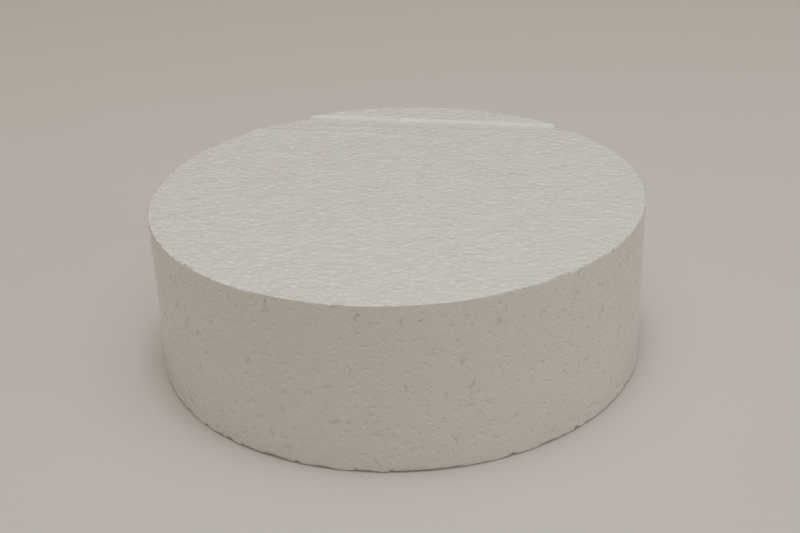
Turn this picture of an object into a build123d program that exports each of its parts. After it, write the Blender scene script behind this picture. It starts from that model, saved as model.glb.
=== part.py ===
from build123d import *
import os

# A round block of rigid white bead foam, such as a cake dummy or a display plinth.
# It is one solid piece, cut to shape with a hot wire: a circular wall between two
# flat faces, with the two rims very slightly rounded by the wire's heat.
#
# Where the wire stopped near the back of the top face it sank a little, and left a
# shallow straight trough across the disc. The trough's far wall is steep, and its
# near side is a gentle ramp that runs at a small angle to it, so the trough is
# wider at the left end than at the right. The segment behind it is back at the
# full height.
#
# Frame, in millimetres: the origin is the centre of the base, Z points up, and X
# runs along the trough, which lies towards +Y.

# Driving dimensions
BLOCK_DIAMETER = 152.0
BLOCK_HEIGHT = 52.0
RIM_RADIUS = 0.4  # rounding of the top and bottom rims

TROUGH_INSET = 12.6  # from the back of the rim to the top edge of the far wall
TROUGH_DEPTH = 1.3
TROUGH_WIDTH_LEFT = 12.4  # across the mouth, at the disc's left extreme
TROUGH_WIDTH_RIGHT = 4.6  # across the mouth, at the disc's right extreme
FAR_WALL_RUN = 0.9  # how far the far wall leans forward over the trough's depth
NEAR_RAMP_RUN = 2.2  # how far the near ramp reaches over the trough's depth

# How far the cutting shape reaches past the block, so that its cuts run out cleanly
CUT_OVERRUN = 2.0

block_radius = BLOCK_DIAMETER / 2
far_edge_y = block_radius - TROUGH_INSET
near_edge_left_y = far_edge_y - TROUGH_WIDTH_LEFT
near_edge_right_y = far_edge_y - TROUGH_WIDTH_RIGHT


def plain_block():
    """The cut disc, standing on its base, with both rims rounded."""
    disc = Cylinder(
        block_radius,
        BLOCK_HEIGHT,
        align=(Align.CENTER, Align.CENTER, Align.MIN),
    )
    rims = disc.edges().filter_by(GeomType.CIRCLE)
    return fillet(rims, RIM_RADIUS)


def near_edge_y(x):
    """The trough's near edge in the top face: a straight line from its left end to its right."""
    share = (x + block_radius) / BLOCK_DIAMETER
    return near_edge_left_y + share * (near_edge_right_y - near_edge_left_y)


def trough_section(depth):
    """The trough's outline in plan, at a depth below the top face.

    Both sides close in on each other in proportion to the depth, so every side of
    the trough is a flat face. A negative depth is above the top face.
    """
    share = depth / TROUGH_DEPTH
    left_x = -block_radius - CUT_OVERRUN
    right_x = block_radius + CUT_OVERRUN
    far_y = far_edge_y - FAR_WALL_RUN * share
    ramp = NEAR_RAMP_RUN * share
    corners = [
        (left_x, near_edge_y(left_x) + ramp),
        (right_x, near_edge_y(right_x) + ramp),
        (right_x, far_y),
        (left_x, far_y),
    ]
    outline = make_face(Polyline(*corners, close=True))
    return Pos(0, 0, BLOCK_HEIGHT - depth) * outline


def trough():
    """The shape that the sinking wire melted away, from above the top face to the floor."""
    # The sides are carried above the face by less than would make them meet.
    rise = TROUGH_DEPTH / 2
    return loft([trough_section(-rise), trough_section(TROUGH_DEPTH)], ruled=True)


def foam_block():
    """The whole block, as one solid."""
    return plain_block() - trough()


os.makedirs("parts", exist_ok=True)
export_step(foam_block(), "parts/foam_block.step")
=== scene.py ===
"""A round block of white bead foam, cut out with a hot wire, on a pale card.

Lengths are in millimetres until a mesh is made. The block stands on z = 0 with its axis
on Z, and the straight mark that the wire left in its top face runs along X, towards +Y.
"""

import math

import bpy
import numpy as np
from mathutils import Euler, Matrix, Vector


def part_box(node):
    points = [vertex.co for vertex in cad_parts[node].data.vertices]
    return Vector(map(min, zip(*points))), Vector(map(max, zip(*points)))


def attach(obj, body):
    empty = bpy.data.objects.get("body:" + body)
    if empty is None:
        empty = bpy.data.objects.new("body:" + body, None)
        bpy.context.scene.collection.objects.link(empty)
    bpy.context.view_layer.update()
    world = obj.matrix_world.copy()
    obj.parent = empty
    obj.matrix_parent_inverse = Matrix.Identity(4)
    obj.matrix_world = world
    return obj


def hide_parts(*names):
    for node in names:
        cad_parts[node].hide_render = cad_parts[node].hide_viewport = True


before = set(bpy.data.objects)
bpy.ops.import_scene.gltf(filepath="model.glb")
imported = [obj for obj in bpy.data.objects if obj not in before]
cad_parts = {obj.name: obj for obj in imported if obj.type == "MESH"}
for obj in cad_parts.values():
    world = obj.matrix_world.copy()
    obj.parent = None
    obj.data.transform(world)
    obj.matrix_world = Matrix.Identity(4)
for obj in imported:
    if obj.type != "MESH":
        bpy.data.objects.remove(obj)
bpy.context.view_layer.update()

MM = 0.001

# The block's overall size, from the frame
low_corner, high_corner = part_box("foam_block")
BLOCK_RADIUS = (high_corner.x - low_corner.x) / 2 / MM
BLOCK_HEIGHT = high_corner.z / MM

# The wire mark: a shallow trough with a sloping far wall, and a thin lip along that wall.
# Its two ends, where it runs out through the rim, differ. Left is -X, and right is +X.
TROUGH_INSET = 12.6  # the trough's far edge is this far in from the back of the rim
TROUGH_WIDTH_LEFT, TROUGH_WIDTH_RIGHT = 12.4, 4.6  # at the disc's two extremes
FAR_EDGE_Y = BLOCK_RADIUS - TROUGH_INSET
NEAR_EDGE_LEFT_Y = FAR_EDGE_Y - TROUGH_WIDTH_LEFT
NEAR_EDGE_RIGHT_Y = FAR_EDGE_Y - TROUGH_WIDTH_RIGHT
NEAR_RAMP_RUN = 2.2
FAR_WALL_RUN_LEFT, FAR_WALL_RUN_RIGHT = 1.3, 0.9
FAR_WALL_CURVE = 0.25  # 0 for a straight far wall, 1 for an S
TROUGH_DEPTH_LEFT, TROUGH_DEPTH_RIGHT = 0.5, 0.22  # at the foot of the near ramp
TROUGH_DIP = 0.15  # deeper than that, at the foot of the far wall
LIP_HEIGHT = 0.12
LIP_WAVE, LIP_WAVE_SIZE = 0.25, 5.0  # its height varies by this share of itself, over this length
LIP_FADE = 0.9  # how fast the lip falls away behind the edge
LIP_BLOBS = ((-11.2, 1.9), (38.0, 2.3))  # x and half-width of the swellings where the wire rested
BLOB_HEIGHT, BLOB_DEPTH = 0.55, 1.2
BLOB_SETBACK = 0.4  # a swelling's middle is this far in front of the edge
SHOULDER_HEIGHT = 0.3  # how far the part behind the lip stands up, at its two ends
SHOULDER_FROM, SHOULDER_FULL = 5.0, 32.0  # it starts and is whole this far from the middle
SHOULDER_START, SHOULDER_RUN = -0.3, 4.5  # where it starts and ends to rise, back from the edge
FLASH_REACH = 2.0  # how far the melted lip runs out past the wall, at its left end
FLASH_HALF_WIDTH = 1.8
FLASH_THICKNESS = 1.6
FLASH_SETBACK = 0.6  # its middle is this far in front of the edge
FLASH_FADE = 2.0  # how fast it falls away inwards
EARLY_RIDGE_Y = 47.0  # a first, fainter stop of the wire
EARLY_RIDGE_HEIGHT = 0.32
EARLY_RIDGE_WIDTH = 1.3
EARLY_RIDGE_FADE = (-30, 10)  # the x between which it fades out

# The melted skin on the far wall and the lip
MELT_FROM, MELT_FULL = -0.6, 0.3  # it starts and is whole this far behind the far wall's foot
MELT_CALM = 0.75  # the share of the beads' relief that it hides
BLOB_BARE = 0.7  # the share of it that a swelling lacks, which leaves the swelling glossier

# The beads. Each fills one cell of a jittered lattice, which is turned out of line with
# the cut faces, so that a cut meets beads at every height.
BEAD_CELL = 2.7  # edge of the lattice's cubes
BEAD_SCATTER = 0.85  # how far a bead may sit from its cube's corner, in cubes
BEAD_TURN = Euler([math.radians(a) for a in (35.0, 25.0, 15.0)])

# Relief of the cut faces
TOP_PILLOW = 0.1  # how far a bead stands above its outline
TOP_TILT = 0.08  # how steeply the cut leaves each bead's facet, as a slope
WALL_PILLOW = 0.025
WALL_TILT = 0.02
OUTLINE_WIDTH = 0.4  # how far a bead's rounding reaches in from its outline
GAP_FROM, GAP_FULL = 0.80, 0.92  # a gap opens this far from every bead's centre, in cubes
GAP_REACH = 0.45  # and this near to an outline
TOP_GAP_DEPTH = 0.15
WALL_GAP_DEPTH = 0.22

# Rims
RIM_INSET = 0.25  # from the wall to the edge of the top grid
TOP_ROUNDING = 0.12
BASE_ROUNDING = 0.5
ROUNDING_WAVE, ROUNDING_WAVE_SIZE = 0.6, 3.0  # a rounding varies by this share, over this length
BASE_LIFT = 0.16  # the base's outer edge is this far off the floor
LIFT_WAVE, LIFT_WAVE_SIZE = 0.6, 4.0
TOP_NICK, BASE_NICK = 0.6, 0.9  # the deepest tears along the rims
NICK_SIZE, NICK_FROM, NICK_FULL = 1.6, 0.35, 0.8  # its length, and the noise where it starts, is whole
TEAR_SIZE, TEAR_FROM, TEAR_FULL = 5.0, 0.2, 0.45  # the same for a longer, shallower tear
TEAR_SHARE = 0.5  # a tear's depth, as a share of a nick's
TEAR_SHIFT, ROUNDING_SHIFT = 90, 40  # they read the noise elsewhere, so that they don't match
RIM_FADE = 3.0  # how fast the top's unevenness fades down the wall
WALL_MARGIN = 0.35  # between the wall's rows and the roundings

# The base
BASE_INSET = 2.0  # from the wall to the edge of the base grid
BASE_BORDER = 1.0  # the width along that edge that stays flat

# Mesh: quads across and along the top, and up the wall
TOP_COLUMNS = 196
TOP_ROWS = 244
WALL_ROWS = 44
EDGE_ROW, FOOT_ROW = 24, 31  # rows of the top grid along the wire mark's edge and foot
BACK_CORNER, FRONT_CORNER = 68.0, -45.0  # where the top grid's corners meet the rim, in degrees
RIM_EDGE_LEVEL = 0.5  # how level the rim's first ring counts in the material

# Pattern of the material
GRAIN_SIZE = (1.25, 1.1, 0.7)  # of the cell walls' own grain, which is wider than high
GRAIN_HEIGHT = 0.24
RIPPLE_SIZE = (2.4, 1.8, 1.8)  # of the ripples that the wire leaves along itself
RIPPLE_HEIGHT = 0.27
FINE_RIPPLE = 2.2  # how many times finer the small ripples are
FINE_RIPPLE_HEIGHT = 0.27
CRESCENT_REACH = 0.55  # how far ahead a ripple is read, to find its side that gets a painted highlight
CRESCENT_FROM, CRESCENT_FULL = 0.04, 0.18  # the rise of the noise where it starts, is whole
BURST_SCALE = 0.75  # a burst cell's size is the grain's, divided by this
BURST_FROM, BURST_FULL = 0.62, 0.72
BURST_DEPTH = 0.12
BURST_SHADE = 0.38  # how strong a burst cell's painted shade is, against a gap's
LIP_DROP = 0.7  # how far below a burst cell its lip with a painted highlight is
# where a burst cell's lower lip gets its painted highlight, and how strong it is
LIP_FROM, LIP_FULL = 0.64, 0.76
LIP_HIGHLIGHT = 0.7
BEAD_HEIGHT_ON_WALL, BEAD_HEIGHT_ON_TOP = 0.03, 0.04
GAP_DEPTH_ON_WALL = 0.08
PATCH_SIZE = 7.0  # the top's ripples are stronger and weaker over this
PATCH_FROM, PATCH_FULL = 0.35, 0.65
PATCH_WEAK, PATCH_STRONG = 0.6, 1.2
TOP_SHADE = 0.25  # how strong the painted shade in hollows is on the top, against the wall
MELT_SMOOTHS = 0.5  # the share of the fine relief that melted skin hides
CUT_ROUGHNESS, MELT_ROUGHNESS = 0.2, 0.5
POLYSTYRENE_IOR = 1.59

# Colours
FOAM_WHITE = "#F1EEEE"
# painted highlight on the top's ripples and on the burst cells' lower lips
PAINTED_HIGHLIGHT_WHITE = "#FFFDFD"
# painted shade for the gaps between beads and the burst cells' pits
PAINTED_SHADE_GREY = "#E3DED8"
CARD_GREY = "#E2DDDC"
LAMP_WHITE = "#ECF1FF"
ROOM_CREAM = "#FFF3C9"


def linear(hex_colour):
    """An sRGB hex colour as linear RGBA."""
    parts = [int(hex_colour[i : i + 2], 16) / 255 for i in (1, 3, 5)]
    curve = [c / 12.92 if c <= 0.04045 else ((c + 0.055) / 1.055) ** 2.4 for c in parts]
    return (*curve, 1.0)


# ---------------------------------------------------------------- camera and lights


def place_camera():
    """Looks down on the block from in front, a little from its right, with a slight roll."""
    azimuth, pitch, roll = (math.radians(a) for a in (13.0, 26.42, -2.18))
    aim = Vector((-11.3, 50.2, 0.0)) * MM
    distance = 471.0 * MM
    level = math.cos(pitch)
    back = Vector((math.sin(azimuth) * level, -math.cos(azimuth) * level, math.sin(pitch)))
    camera = bpy.data.cameras.new("studio_camera")
    camera.lens = 58.5
    camera.clip_start, camera.clip_end = 0.01, 100.0
    holder = bpy.data.objects.new("studio_camera", camera)
    bpy.context.scene.collection.objects.link(holder)
    holder.location = aim + back * distance
    upright = (-back).to_track_quat("-Z", "Y").to_matrix().to_4x4()
    holder.rotation_mode = "QUATERNION"
    holder.rotation_quaternion = (upright @ Matrix.Rotation(roll, 4, "Z")).to_quaternion()
    bpy.context.scene.camera = holder


def soft_light(name, place, size, power):
    """A square soft box at place, turned to the origin. Place and size are in metres, and
    power is in watts. The camera doesn't see it."""
    lamp = bpy.data.lights.new(name, "AREA")
    lamp.size = size
    lamp.energy = power
    lamp.color = linear(LAMP_WHITE)[:3]
    holder = bpy.data.objects.new(name, lamp)
    bpy.context.scene.collection.objects.link(holder)
    holder.location = place
    holder.rotation_mode = "QUATERNION"
    holder.rotation_quaternion = (-Vector(place)).to_track_quat("-Z", "Y")
    holder.visible_camera = False


def light_studio():
    """A small soft box and a large one overhead, a weak one near the block, weak fills from
    both sides, and a dim warm room."""
    soft_light("key_box", (0.05, -0.1, 1.5), 0.4, 4.2)
    soft_light("overhead_box", (0.12, -0.13, 1.5), 1.8, 4.6)
    soft_light("near_box", (0.05, -0.1, 0.7), 0.5, 0.32)
    soft_light("right_fill", (1.1, -0.2, 0.45), 0.7, 0.91)
    soft_light("left_fill", (-1.1, -0.2, 0.45), 0.7, 0.26)
    world = bpy.data.worlds.new("studio_room")
    world.use_nodes = True
    room = world.node_tree.nodes["Background"]
    room.inputs["Color"].default_value = linear(ROOM_CREAM)
    room.inputs["Strength"].default_value = 0.28
    bpy.context.scene.world = world
    bpy.context.scene.view_settings.view_transform = "Standard"


# ---------------------------------------------------------------- beads and noise


def rolled(words, bits):
    """32-bit words with their bits rolled to the left."""
    return (words << np.uint32(bits)) | (words >> np.uint32(32 - bits))


def scramble(*keys):
    """Three or four float keys as one even random number from 0 to 1, by Jenkins's lookup3.

    It's the same mix that Blender's Voronoi texture uses, so that the beads worked out
    here and the beads in the material are the same ones.
    """
    start = np.uint32((0xDEADBEEF + (len(keys) << 2) + 13) & 0xFFFFFFFF)
    shape = np.broadcast(*keys).shape
    words = [np.full(shape, key, np.float32).view(np.uint32) for key in keys]
    a, b, c = start + words[0], start + words[1], start + words[2]
    if len(keys) == 4:
        for bits in (4, 6, 8, 16, 19, 4):
            a, c = (a - c) ^ rolled(c, bits), c + b
            a, b, c = b, c, a
        a = a + words[3]
    x, y, z = c, b, a
    for bits in (14, 11, 25, 16, 4, 14, 24):
        x = (x ^ y) - rolled(y, bits)
        x, y, z = z, x, y
    return y.astype(np.float32) / np.float32(2**32)


def toss(cells):
    """Three random numbers from 0 to 1 for each lattice cell, in the last axis."""
    x, y, z = (cells[..., i] for i in range(3))
    return np.stack([scramble(x, y, z), scramble(x, y, z, 1.0), scramble(x, y, z, 2.0)], -1)


def beads_at(points):
    """The bead that each point lies in: the Voronoi cell of the nearest jittered site.

    Gives, for each point: the way to the bead's centre and the distance to the bead's
    outline, in millimetres, the distance to the centre in lattice cubes, and the bead's
    three random numbers.
    """
    turn = np.array(BEAD_TURN.to_matrix())
    place = points / BEAD_CELL @ turn.T
    home = np.floor(place)
    first = home.min(0) - 1
    count = (home.max(0) - first + 2).astype(int)
    cells = np.stack(np.meshgrid(*[np.arange(n) for n in count], indexing="ij"), -1) + first
    tosses = toss(cells)
    ways, picks = [], []
    for step in np.ndindex(3, 3, 3):
        cell = home + np.array(step) - 1
        pick = tosses[tuple((cell - first).astype(int).T)]
        ways.append(cell + pick * BEAD_SCATTER - place)
        picks.append(pick)
    ways, picks = np.array(ways), np.array(picks)
    nearest = (ways**2).sum(-1).argmin(0)
    rows = np.arange(len(points))
    way, pick = ways[nearest, rows], picks[nearest, rows]
    across = ways - way
    span = np.linalg.norm(across, axis=-1)
    to_outline = ((ways + way) / 2 * across).sum(-1) / np.maximum(span, 1e-9)
    to_outline[span < 1e-4] = np.inf  # the bead itself
    centre_distance = np.linalg.norm(way, axis=-1)
    return way @ turn * BEAD_CELL, to_outline.min(0) * BEAD_CELL, centre_distance, pick


def eased(value, start, end):
    """0 before start, 1 after end, and a smooth S between."""
    share = np.clip((value - start) / (end - start), 0, 1)
    return share * share * (3 - 2 * share)


def uneven(points, size):
    """Smooth noise from -1 to 1 that changes over about size: random values at the corners
    of cubes of that size, blended with an eased weight along each axis."""
    place = points / size
    home = np.floor(place)
    weight = eased(place - home, 0, 1)
    total = 0
    for step in np.ndindex(2, 2, 2):
        corner = home + np.array(step)
        share = np.where(np.array(step) == 1, weight, 1 - weight).prod(-1)
        total = total + share * scramble(*corner.T, 7.0)
    return 2 * total - 1


def bead_relief(points, pillow, tilt, gap_depth):
    """How far the cut face stands out at each point: a pillow over each bead, whose rise is
    pillow times one minus an exponential of the distance from the bead's outline, with the
    bead's own slope added, and a pit along the outline where it is far from every centre."""
    way, to_outline, centre_distance, pick = beads_at(points)
    rise = 1 - np.exp(-np.maximum(to_outline, 0) / OUTLINE_WIDTH)
    slope = (way * (2 * pick - 1)).sum(-1) * tilt
    pit = eased(centre_distance, GAP_FROM, GAP_FULL) * (1 - eased(to_outline, 0, GAP_REACH))
    return pillow * (rise - 1) + slope * rise - gap_depth * pit


# ---------------------------------------------------------------- the block's shape


def wire_mark(x, y):
    """Height of the wire mark at a point of the top face, from the face's plane, and how
    much the wire melted the skin there, from 0 to 1.

    Going back, a straight ramp falls to the trough's floor, the floor dips with the square
    of the way across, a nearly straight wall rises to the lip, and the lip fades
    exponentially. The blobs and the first, fainter stop are bell-shaped, and that stop's
    ridge fades out towards +X. Behind the lip, two eased shoulders rise towards its ends.
    """
    across = (x + BLOCK_RADIUS) / (2 * BLOCK_RADIUS)
    near = NEAR_EDGE_LEFT_Y + across * (NEAR_EDGE_RIGHT_Y - NEAR_EDGE_LEFT_Y)
    run = FAR_WALL_RUN_LEFT + across * (FAR_WALL_RUN_RIGHT - FAR_WALL_RUN_LEFT)
    depth = TROUGH_DEPTH_LEFT + across * (TROUGH_DEPTH_RIGHT - TROUGH_DEPTH_LEFT)
    foot = FAR_EDGE_Y - run
    fall = np.clip((y - near) / NEAR_RAMP_RUN, 0, 1)
    along_floor = np.clip((y - near) / (foot - near), 0, 1)
    climb = np.clip((y - foot) / run, 0, 1)
    rise = (1 - FAR_WALL_CURVE) * climb + FAR_WALL_CURVE * eased(climb, 0, 1)
    floor = -fall * (depth + TROUGH_DIP * along_floor**2)
    behind = np.exp(-np.maximum(y - FAR_EDGE_Y, 0) / LIP_FADE)
    blobs = sum(np.exp(-(((x - at) / half) ** 2)) for at, half in LIP_BLOBS)
    blob = BLOB_HEIGHT * blobs * np.exp(-(((y - FAR_EDGE_Y + BLOB_SETBACK) / BLOB_DEPTH) ** 2))
    lip = LIP_HEIGHT * (1 + LIP_WAVE * uneven(np.stack([x, y, 0 * x], -1), LIP_WAVE_SIZE))
    ridge = EARLY_RIDGE_HEIGHT * np.exp(-(((y - EARLY_RIDGE_Y) / EARLY_RIDGE_WIDTH) ** 2))
    ridge = ridge * (1 - eased(x, *EARLY_RIDGE_FADE))
    outwards = eased(np.abs(x), SHOULDER_FROM, SHOULDER_FULL)
    shoulder = SHOULDER_HEIGHT * outwards * eased(y - FAR_EDGE_Y, SHOULDER_START, SHOULDER_RUN)
    height = floor * (1 - rise) + lip * behind * rise + blob + ridge + shoulder
    melt = eased(y, foot + MELT_FROM, foot + MELT_FULL) * behind * (1 - BLOB_BARE * blobs)
    return height, melt


def flash(points):
    """How far the wire pulled the lip's melted end out along itself: a bell round
    its place on the rim, and below the top face, which fades exponentially inwards."""
    angle = np.arctan2(points[:, 1], points[:, 0])
    end = math.pi - math.asin((FAR_EDGE_Y - FLASH_SETBACK) / BLOCK_RADIUS)
    bell = np.exp(-(((angle - end) * BLOCK_RADIUS / FLASH_HALF_WIDTH) ** 2))
    inset = np.maximum(BLOCK_RADIUS - np.linalg.norm(points[:, :2], axis=-1), 0)
    drop = np.maximum(BLOCK_HEIGHT - points[:, 2], 0)
    return FLASH_REACH * bell * np.exp(-inset / FLASH_FADE) * np.exp(-((drop / FLASH_THICKNESS) ** 2))


def top_outline_grid():
    """x and y of the top grid, on a disc of radius 1.

    Each row is an arc between two points of the rim at the same y, which come from the
    row's angle. The arc's rise above its ends goes from the rim's own, at the back, to
    none along the wire mark, so that rows follow its edge, and to the rim's own again at
    the front, with the square of the way there.
    """
    edge = math.degrees(math.asin(FAR_EDGE_Y / BLOCK_RADIUS))
    foot = math.degrees(math.asin((FAR_EDGE_Y - FAR_WALL_RUN_LEFT) / BLOCK_RADIUS))
    row = np.arange(TOP_ROWS + 1)
    knots = [0, EDGE_ROW, FOOT_ROW, TOP_ROWS]
    angle = np.radians(np.interp(row, knots, [BACK_CORNER, edge, foot, FRONT_CORNER]))
    behind = np.clip(1 - row / EDGE_ROW, 0, 1)
    before = np.clip((row - FOOT_ROW) / (TOP_ROWS - FOOT_ROW), 0, 1)
    back_rise = 1 - math.sin(math.radians(BACK_CORNER))
    front_rise = 1 + math.sin(math.radians(FRONT_CORNER))
    rise = back_rise * behind - front_rise * before**2
    half = np.cos(angle)
    bend = 2 * np.arctan2(rise, half)
    bend = np.where(np.abs(bend) < 1e-6, 1e-6, bend)[:, None]  # a straight row is a very flat arc
    share = np.linspace(1, -1, TOP_COLUMNS + 1)[None, :]
    x = half[:, None] * np.sin(share * bend) / np.sin(bend)
    y = np.sin(angle)[:, None] + half[:, None] * (np.cos(share * bend) - np.cos(bend)) / np.sin(bend)
    return x, y


def rim_walk(numbers):
    """The numbers on the border of a grid, once round it, anticlockwise from above."""
    back, left = numbers[0, :-1], numbers[:-1, -1]
    front, right = numbers[-1, :0:-1], numbers[:0:-1, 0]
    return np.concatenate([back, left, front, right])


def quads(numbers):
    """The four corners of each cell of a grid of vertex numbers."""
    a, b, c, d = numbers[:-1, :-1], numbers[:-1, 1:], numbers[1:, 1:], numbers[1:, :-1]
    return np.stack([a, b, c, d], -1).reshape(-1, 4)


def joining_triangles(fine, coarse):
    """Triangles between a ring of vertex numbers and one with a quarter as many: for each
    coarse point and the next, two to the one, one between them, and two to the other."""
    coarse_next = np.roll(coarse, -1)
    fine = fine.reshape(-1, 4)
    stops = np.concatenate([fine, np.roll(fine[:, 0], -1)[:, None]], 1)
    fans = [(stops[:, 0], stops[:, 1], coarse), (stops[:, 1], stops[:, 2], coarse)]
    fans += [(stops[:, 2], coarse_next, coarse)]
    fans += [(stops[:, 2], stops[:, 3], coarse_next), (stops[:, 3], stops[:, 4], coarse_next)]
    return np.concatenate([np.stack(fan, -1) for fan in fans])


def rim_radius(out, height, rounding, nick_depth):
    """Radius of the rounding along a rim: the rounding, which varies by a share of itself,
    and larger where a nick is torn out, which is where a fine noise nears its top. A
    longer, shallower tear comes where a coarser noise is high."""
    place = out * BLOCK_RADIUS + np.array([0.0, 0.0, height])
    tear = eased(uneven(place + TEAR_SHIFT, TEAR_SIZE), TEAR_FROM, TEAR_FULL)
    nick = np.maximum(eased(uneven(place, NICK_SIZE), NICK_FROM, NICK_FULL), TEAR_SHARE * tear)
    wave = ROUNDING_WAVE * uneven(place + ROUNDING_SHIFT, ROUNDING_WAVE_SIZE)
    return rounding * (1 + wave) + nick_depth * nick


def block_mesh():
    """The whole block as one closed mesh. The top grid's border, the rim's rings, the wall
    and the base's border are rings that bands of faces join. All have the same count,
    apart from the base's border, which has a quarter of it."""
    unit_x, unit_y = top_outline_grid()
    reach = BLOCK_RADIUS - RIM_INSET
    flat = np.stack([unit_x * reach, unit_y * reach, np.full(unit_x.shape, BLOCK_HEIGHT)], -1)
    flat = flat.reshape(-1, 3)
    mark, melt = wire_mark(flat[:, 0], flat[:, 1])
    calm = 1 - MELT_CALM * melt
    top = flat.copy()
    top[:, 2] += mark + calm * bead_relief(flat, TOP_PILLOW, TOP_TILT, TOP_GAP_DEPTH)
    top_numbers = np.arange(len(top)).reshape(unit_x.shape)
    rim = rim_walk(top_numbers)

    round_angle = np.arctan2(flat[rim, 1], flat[rim, 0])
    out = np.stack([np.cos(round_angle), np.sin(round_angle), np.zeros(len(rim))], -1)
    up = np.array([0.0, 0.0, 1.0])
    top_radius = rim_radius(out, BLOCK_HEIGHT, TOP_ROUNDING, TOP_NICK)
    base_radius = rim_radius(out, 0.0, BASE_ROUNDING, BASE_NICK)
    lift = BASE_LIFT * (1 + LIFT_WAVE * uneven(out * BLOCK_RADIUS, LIFT_WAVE_SIZE))
    top[rim] += out * np.minimum(RIM_INSET - top_radius, 0)[:, None]

    # Each ring is an inset from the wall and a height, for each point of the rim
    rings = [(top_radius * (1 - math.sin(a)), BLOCK_HEIGHT - top_radius * (1 - math.cos(a)))
             for a in (math.radians(30), math.radians(60), math.radians(90))]
    high = BLOCK_HEIGHT - top_radius - WALL_MARGIN
    low = lift + base_radius + WALL_MARGIN
    for share in np.linspace(0, 1, WALL_ROWS + 1):
        rings.append((np.zeros(len(rim)), high + share * (low - high)))
    for a in (math.radians(90), math.radians(45), math.radians(0)):
        rings.append((base_radius * (1 - math.sin(a)), lift + base_radius * (1 - math.cos(a))))
    inset = np.array([ring[0] for ring in rings])
    height = np.array([ring[1] for ring in rings])
    wall = out[None] * (BLOCK_RADIUS - inset)[..., None] + height[..., None] * up
    relief = bead_relief(wall.reshape(-1, 3), WALL_PILLOW, WALL_TILT, WALL_GAP_DEPTH)
    wall += out[None] * np.minimum(relief, 0).reshape(height.shape)[..., None]
    near_top = np.exp(-(BLOCK_HEIGHT - height) / RIM_FADE)
    wall[..., 0] -= flash(wall.reshape(-1, 3)).reshape(height.shape)
    wall += ((top[rim, 2] - BLOCK_HEIGHT)[None] * near_top)[..., None] * up
    top[:, 0] -= flash(flat)

    # The base: the same arcs as the top, at a quarter of the count
    base_x, base_y = unit_x[::4, ::4], unit_y[::4, ::4]
    base_reach = BLOCK_RADIUS - BASE_INSET
    base = np.stack([base_x * base_reach, base_y * base_reach, np.zeros(base_x.shape)], -1)
    base = base.reshape(-1, 3)
    inner = np.linalg.norm(base[:, :2], axis=-1) < base_reach - BASE_BORDER
    base_relief = -bead_relief(base, TOP_PILLOW, TOP_TILT, TOP_GAP_DEPTH)
    base[:, 2] += np.where(inner, np.clip(base_relief, 0, None), 0)

    points = np.concatenate([top, wall.reshape(-1, 3), base])
    wall_numbers = len(top) + np.arange(height.size).reshape(height.shape)
    base_numbers = len(top) + height.size + np.arange(base_x.size).reshape(base_x.shape)
    bands = np.concatenate([rim[None], wall_numbers])
    bands = np.concatenate([bands, bands[:, :1]], 1)
    triangles = joining_triangles(wall_numbers[-1], rim_walk(base_numbers))
    faces = [quads(top_numbers), quads(bands)[:, ::-1]]
    faces += [quads(base_numbers)[:, ::-1], triangles[:, ::-1]]
    mesh = bpy.data.meshes.new("foam_block_body")
    mesh.from_pydata((points * MM).tolist(), [], [face.tolist() for group in faces for face in group])
    mesh.shade_smooth()

    # What the material reads: the melted skin, and which faces are level cuts
    skin = mesh.attributes.new("melt", "FLOAT", "POINT")
    skin.data.foreach_set("value", np.concatenate([melt, np.zeros(len(points) - len(top))]))
    wall_level = np.zeros(height.shape)
    wall_level[0] = RIM_EDGE_LEVEL
    level = np.concatenate([np.ones(len(top)), wall_level.ravel(), np.ones(len(base))])
    mesh.attributes.new("level_cut", "FLOAT", "POINT").data.foreach_set("value", level)
    return mesh


# ---------------------------------------------------------------- materials


def add(tree, kind, settings=None, inputs=None):
    """Adds a node with its settings. An input is a number or colour, or a socket to link."""
    node = tree.nodes.new(kind)
    for name, value in (settings or {}).items():
        setattr(node, name, value)
    for name, value in (inputs or {}).items():
        if isinstance(value, bpy.types.NodeSocket):
            tree.links.new(value, node.inputs[name])
        else:
            node.inputs[name].default_value = value
    return node


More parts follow.
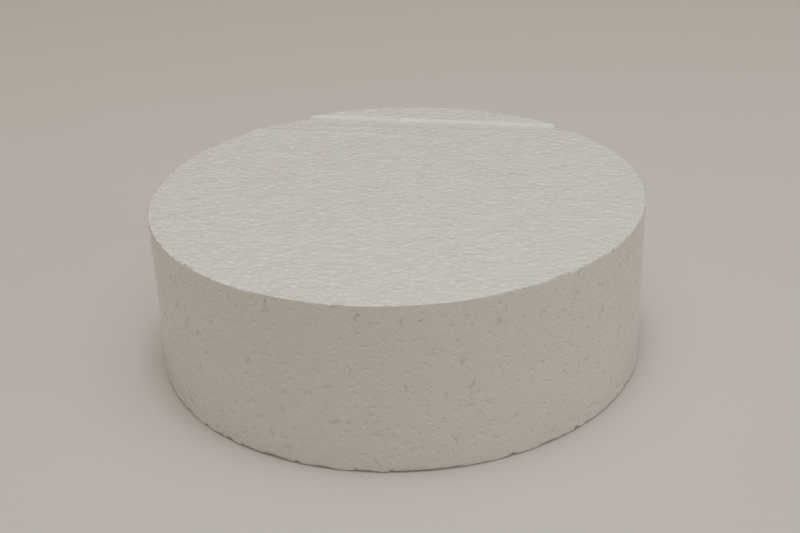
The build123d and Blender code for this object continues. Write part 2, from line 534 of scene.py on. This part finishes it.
def hot_wire_cut_bead_foam():
    """Expanded polystyrene, cut with a hot wire. Each bead is a blown closed cell foam, so
    the white is bright and matt, and the wire melts its cell walls to a thin skin, which
    gives each bump a soft gloss. The beads' outlines are fine grooves, with small gaps
    where several beads meet; these and the burst cells' pits get painted shade. The top's
    ripples and the burst cells' lower lips get a painted highlight. Where the wire stood
    still, the skin is smooth."""
    material = bpy.data.materials.new("hot_wire_cut_bead_foam")
    material.use_nodes = True
    tree = material.node_tree
    shader = tree.nodes["Principled BSDF"]
    smooth_step = {"interpolation_type": "SMOOTHSTEP"}
    times, plus = {"operation": "MULTIPLY"}, {"operation": "ADD"}
    times_plus = {"operation": "MULTIPLY_ADD"}
    place = add(tree, "ShaderNodeTexCoord").outputs["Object"]
    melt = add(tree, "ShaderNodeAttribute", {"attribute_name": "melt"}).outputs["Fac"]
    on_top = add(tree, "ShaderNodeAttribute", {"attribute_name": "level_cut"}).outputs["Fac"]

    # The same beads as in the mesh
    lattice = add(
        tree,
        "ShaderNodeMapping",
        None,
        {"Vector": place, "Rotation": tuple(BEAD_TURN), "Scale": (1 / MM / BEAD_CELL,) * 3},
    ).outputs["Vector"]
    bead_inputs = {"Vector": lattice, "Scale": 1.0, "Randomness": BEAD_SCATTER}
    bead = add(tree, "ShaderNodeTexVoronoi", {"feature": "F1"}, bead_inputs)
    outline = add(tree, "ShaderNodeTexVoronoi", {"feature": "DISTANCE_TO_EDGE"}, bead_inputs)
    to_outline = outline.outputs["Distance"]
    plateau = add(
        tree,
        "ShaderNodeMapRange",
        smooth_step,
        {"Value": to_outline, "From Min": 0.0, "From Max": OUTLINE_WIDTH / BEAD_CELL},
    ).outputs["Result"]
    far = add(
        tree,
        "ShaderNodeMapRange",
        smooth_step,
        {"Value": bead.outputs["Distance"], "From Min": GAP_FROM, "From Max": GAP_FULL},
    ).outputs["Result"]
    narrow = add(
        tree,
        "ShaderNodeMapRange",
        smooth_step,
        {
            "Value": to_outline,
            "From Min": 0.0,
            "From Max": GAP_REACH / BEAD_CELL,
            "To Min": 1.0,
            "To Max": 0.0,
        },
    ).outputs["Result"]
    gap = add(tree, "ShaderNodeMath", times, {0: far, 1: narrow}).outputs[0]

    # The cell walls' own grain, and the ripples that the wire leaves along itself
    in_grain = add(
        tree,
        "ShaderNodeMapping",
        None,
        {"Vector": place, "Scale": tuple(1 / MM / size for size in GRAIN_SIZE)},
    ).outputs["Vector"]
    grain = add(
        tree, "ShaderNodeTexNoise", None, {"Vector": in_grain, "Scale": 1.0, "Detail": 3.0}
    ).outputs["Fac"]
    in_ripples = add(
        tree,
        "ShaderNodeMapping",
        None,
        {"Vector": place, "Scale": tuple(1 / MM / size for size in RIPPLE_SIZE)},
    ).outputs["Vector"]
    ripple = add(
        tree, "ShaderNodeTexNoise", None, {"Vector": in_ripples, "Scale": 1.0, "Detail": 2.0}
    ).outputs["Fac"]
    fine_ripple = add(
        tree, "ShaderNodeTexNoise", None, {"Vector": in_ripples, "Scale": FINE_RIPPLE, "Detail": 2.0}
    ).outputs["Fac"]

    # A painted highlight goes on the side of each ripple on the top that faces -Y, towards
    # the camera: where the height a little further towards +Y is greater.
    shift = (0.0, CRESCENT_REACH / RIPPLE_SIZE[1], 0.0)
    ahead_place = add(tree, "ShaderNodeVectorMath", plus, {0: in_ripples, 1: shift}).outputs[0]
    ahead = add(
        tree, "ShaderNodeTexNoise", None, {"Vector": ahead_place, "Scale": 1.0, "Detail": 2.0}
    ).outputs["Fac"]
    climb = add(tree, "ShaderNodeMath", {"operation": "SUBTRACT"}, {0: ahead, 1: ripple}).outputs[0]
    facing_camera = add(
        tree,
        "ShaderNodeMapRange",
        smooth_step,
        {"Value": climb, "From Min": CRESCENT_FROM, "From Max": CRESCENT_FULL},
    ).outputs["Result"]
    crescent_highlight = add(tree, "ShaderNodeMath", times, {0: facing_camera, 1: on_top}).outputs[0]

    # Single burst cells, which leave small shallow pits. Their lower lips get a painted highlight.
    burst_noise = add(
        tree, "ShaderNodeTexNoise", None, {"Vector": in_grain, "Scale": BURST_SCALE, "Detail": 1.0}
    ).outputs["Fac"]
    burst = add(
        tree,
        "ShaderNodeMapRange",
        smooth_step,
        {"Value": burst_noise, "From Min": BURST_FROM, "From Max": BURST_FULL},
    ).outputs["Result"]
    drop = (0.0, 0.0, LIP_DROP / GRAIN_SIZE[2])
    above_place = add(tree, "ShaderNodeVectorMath", plus, {0: in_grain, 1: drop}).outputs[0]
    above_noise = add(
        tree, "ShaderNodeTexNoise", None, {"Vector": above_place, "Scale": BURST_SCALE, "Detail": 1.0}
    ).outputs["Fac"]
    # painted highlight on a burst cell's lower lip
    lip = add(
        tree,
        "ShaderNodeMapRange",
        smooth_step,
        {"Value": above_noise, "From Min": LIP_FROM, "From Max": LIP_FULL, "To Max": LIP_HIGHLIGHT},
    ).outputs["Result"]

    # Heights in millimetres, each added to the last: on the wall, and then on the top,
    # where they are stronger in some patches than in others
    wall_heights = (
        (grain, GRAIN_HEIGHT),
        (plateau, BEAD_HEIGHT_ON_WALL),
        (gap, -GAP_DEPTH_ON_WALL),
        (burst, -BURST_DEPTH),
    )
    wall_relief = 0.0
    for share, height in wall_heights:
        terms = {0: share, 1: height, 2: wall_relief}
        wall_relief = add(tree, "ShaderNodeMath", times_plus, terms).outputs[0]
    top_heights = (
        (fine_ripple, FINE_RIPPLE_HEIGHT),
        (plateau, BEAD_HEIGHT_ON_TOP),
        (ripple, RIPPLE_HEIGHT),
    )
    top_relief = 0.0
    for share, height in top_heights:
        terms = {0: share, 1: height, 2: top_relief}
        top_relief = add(tree, "ShaderNodeMath", times_plus, terms).outputs[0]
    patch = add(
        tree, "ShaderNodeTexNoise", None, {"Vector": place, "Scale": 1 / MM / PATCH_SIZE, "Detail": 1.0}
    ).outputs["Fac"]
    busy = add(
        tree,
        "ShaderNodeMapRange",
        None,
        {
            "Value": patch,
            "From Min": PATCH_FROM,
            "From Max": PATCH_FULL,
            "To Min": PATCH_WEAK,
            "To Max": PATCH_STRONG,
        },
    ).outputs["Result"]
    top_relief = add(tree, "ShaderNodeMath", times, {0: top_relief, 1: busy}).outputs[0]
    relief = add(
        tree,
        "ShaderNodeMix",
        {"data_type": "FLOAT"},
        {0: on_top, 2: wall_relief, 3: top_relief},
    ).outputs[0]
    unmelted = add(
        tree, "ShaderNodeMath", times_plus, {0: melt, 1: -MELT_SMOOTHS, 2: 1.0}
    ).outputs[0]
    bump = add(tree, "ShaderNodeBump", None, {"Height": relief, "Strength": unmelted, "Distance": MM})
    tree.links.new(bump.outputs["Normal"], shader.inputs["Normal"])

    # Colour: white, with a painted highlight on the top's ripples and on the burst cells'
    # lower lips, and painted shade in the hollows, less of it on the top
    shade = add(
        tree,
        "ShaderNodeMapRange",
        None,
        {"Value": on_top, "From Min": 0.0, "From Max": 1.0, "To Min": 1.0, "To Max": TOP_SHADE},
    ).outputs["Result"]
    # painted shade in the gaps and burst pits
    hollow_shade = add(
        tree, "ShaderNodeMath", times_plus, {0: burst, 1: BURST_SHADE, 2: gap}
    ).outputs[0]
    dark = add(tree, "ShaderNodeMath", times, {0: hollow_shade, 1: shade}).outputs[0]
    # painted highlight on the ripples and on the burst cells' lips
    painted_highlight = add(tree, "ShaderNodeMath", {"operation": "MAXIMUM"}, {0: crescent_highlight, 1: lip}).outputs[0]
    skin = add(
        tree,
        "ShaderNodeMix",
        {"data_type": "RGBA"},
        {0: painted_highlight, 6: linear(FOAM_WHITE), 7: linear(PAINTED_HIGHLIGHT_WHITE)},
    ).outputs[2]
    white = add(
        tree,
        "ShaderNodeMix",
        {"data_type": "RGBA"},
        {0: dark, 6: skin, 7: linear(PAINTED_SHADE_GREY)},
    ).outputs[2]
    tree.links.new(white, shader.inputs["Base Color"])
    rough = add(
        tree,
        "ShaderNodeMapRange",
        None,
        {
            "Value": melt,
            "From Min": 0.0,
            "From Max": 1.0,
            "To Min": CUT_ROUGHNESS,
            "To Max": MELT_ROUGHNESS,
        },
    ).outputs["Result"]
    tree.links.new(rough, shader.inputs["Roughness"])
    shader.inputs["IOR"].default_value = POLYSTYRENE_IOR
    return material


def matt_card():
    """Pale warm-grey card, which the block stands on: smooth and without gloss."""
    material = bpy.data.materials.new("matt_card")
    material.use_nodes = True
    shader = material.node_tree.nodes["Principled BSDF"]
    shader.inputs["Base Color"].default_value = linear(CARD_GREY)
    shader.inputs["Roughness"].default_value = 0.9
    shader.inputs["Specular IOR Level"].default_value = 0.2
    return material


# ---------------------------------------------------------------- the scene


def lay_floor():
    """The card: a large flat square, 12 m across."""
    half = 6.0
    corners = [(-half, -half, 0), (half, -half, 0), (half, half, 0), (-half, half, 0)]
    mesh = bpy.data.meshes.new("card_floor")
    mesh.from_pydata(corners, [], [(0, 1, 2, 3)])
    mesh.materials.append(matt_card())
    floor = bpy.data.objects.new("card_floor", mesh)
    bpy.context.scene.collection.objects.link(floor)


def make_block():
    """The foam block, in place of the plain CAD solid."""
    mesh = block_mesh()
    mesh.materials.append(hot_wire_cut_bead_foam())
    block = bpy.data.objects.new("foam_block_body", mesh)
    bpy.context.scene.collection.objects.link(block)
    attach(block, "root")
    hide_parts("foam_block")


place_camera()
light_studio()
lay_floor()
make_block()
